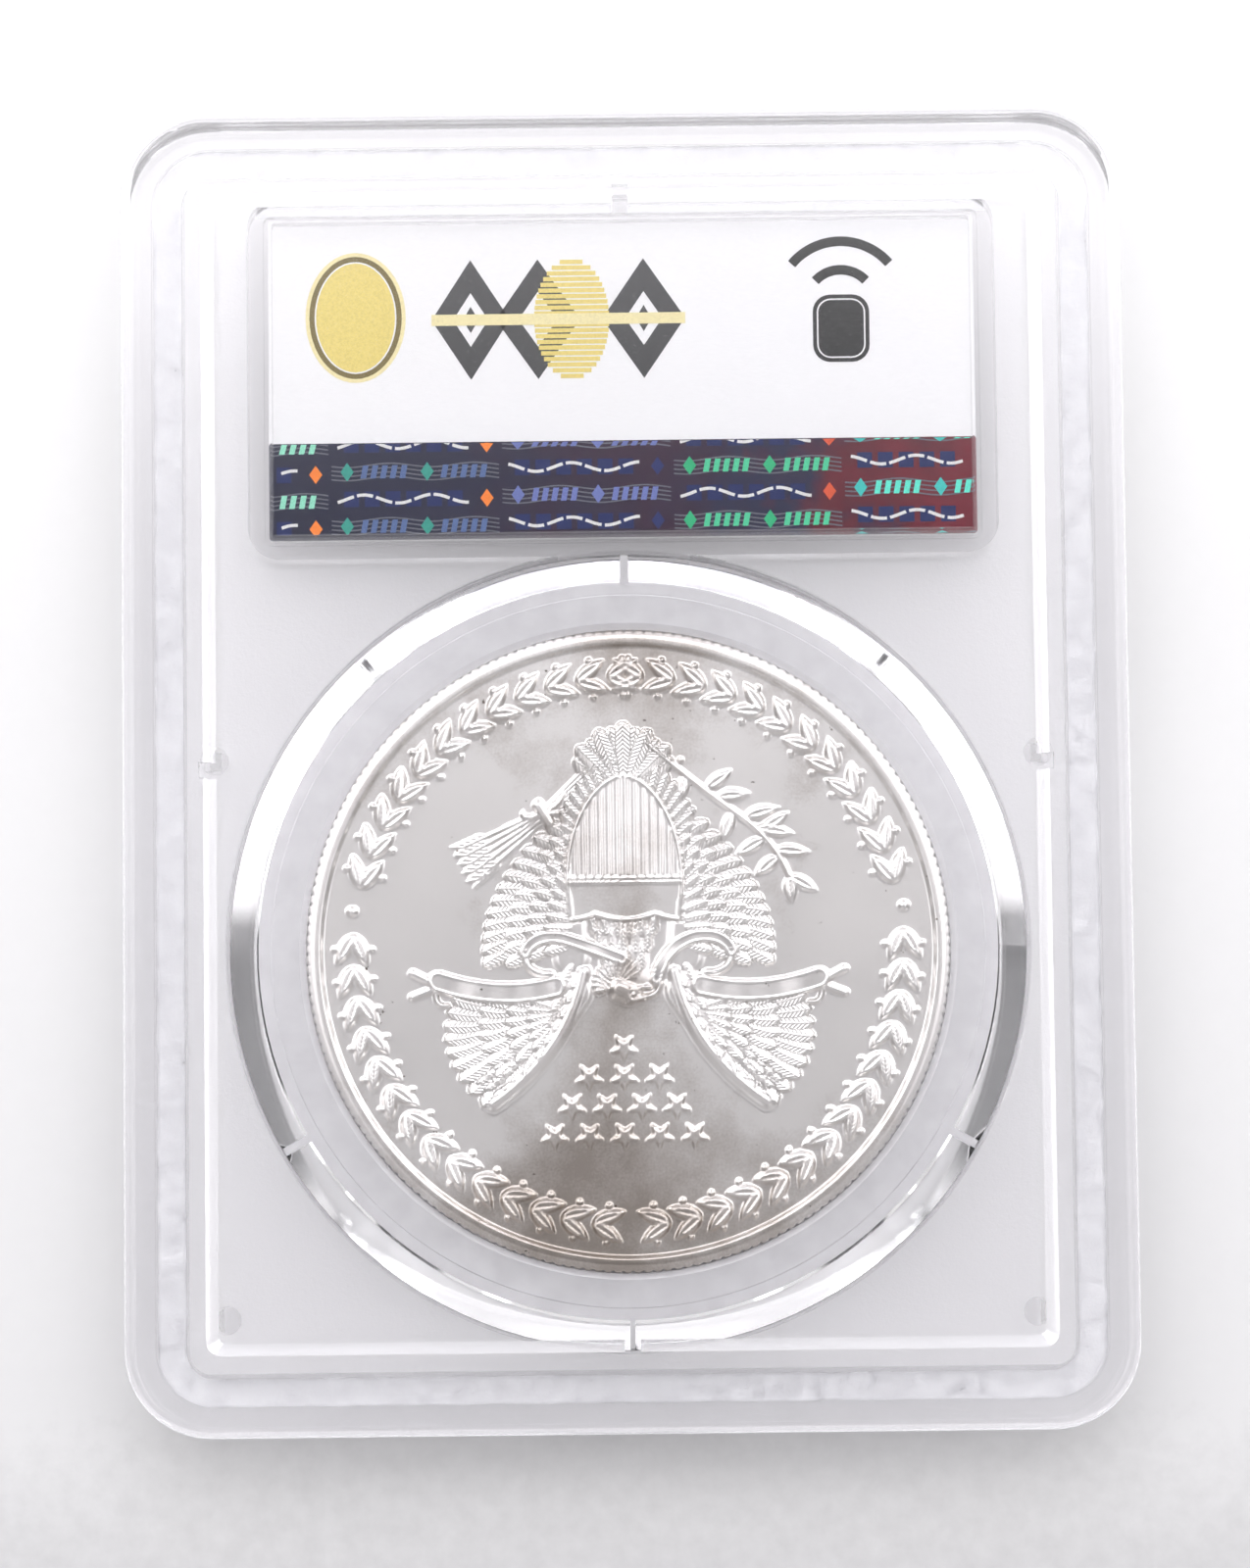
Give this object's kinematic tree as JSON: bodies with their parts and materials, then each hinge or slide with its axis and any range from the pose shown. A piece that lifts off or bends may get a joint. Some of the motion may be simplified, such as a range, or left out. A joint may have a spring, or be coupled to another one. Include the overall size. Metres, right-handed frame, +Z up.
{
  "type": "graded coin slab",
  "caption": "Sealed clear plastic holder that displays and protects a graded silver coin, with a keyed gasket, a label pocket and a foil security strip.",
  "frame": {"origin": "under the centre of the slab, on the surface it lies on, at the outer face of the front shell's rim", "axes": "+X across the slab, +Y towards the label end, +Z up out of the back shell, which is the side that shows the coin's reverse and the foil strip"},
  "size_m": [0.0636, 0.0838, 0.008],
  "materials": {
    "clear_shell": "crystal-clear moulded polystyrene, lightly textured inside the panels",
    "weld_haze": "hazy re-melted polystyrene",
    "clear_gasket": "satin translucent soft plastic",
    "coin_silver": "satin struck silver with light toning",
    "label_card": "smooth white printed card",
    "hologram_foil": "dark iridescent security film",
    "tag_film": "clear polyester film",
    "tag_foil": "bright etched foil",
    "chip_black": "bare dark die"
  },
  "bodies": {
    "root": {"front_shell": "clear_shell", "back_shell": "clear_shell", "weld_bead": "weld_haze", "coin": "coin_silver", "coin_gasket": "clear_gasket", "front_label": "label_card", "back_label": "label_card", "hologram_strip": "hologram_foil", "nfc_film": "tag_film", "nfc_antenna": "tag_foil", "nfc_chip": "chip_black", "nfc_bridge": "tag_foil"}
  },
  "joints": []
}
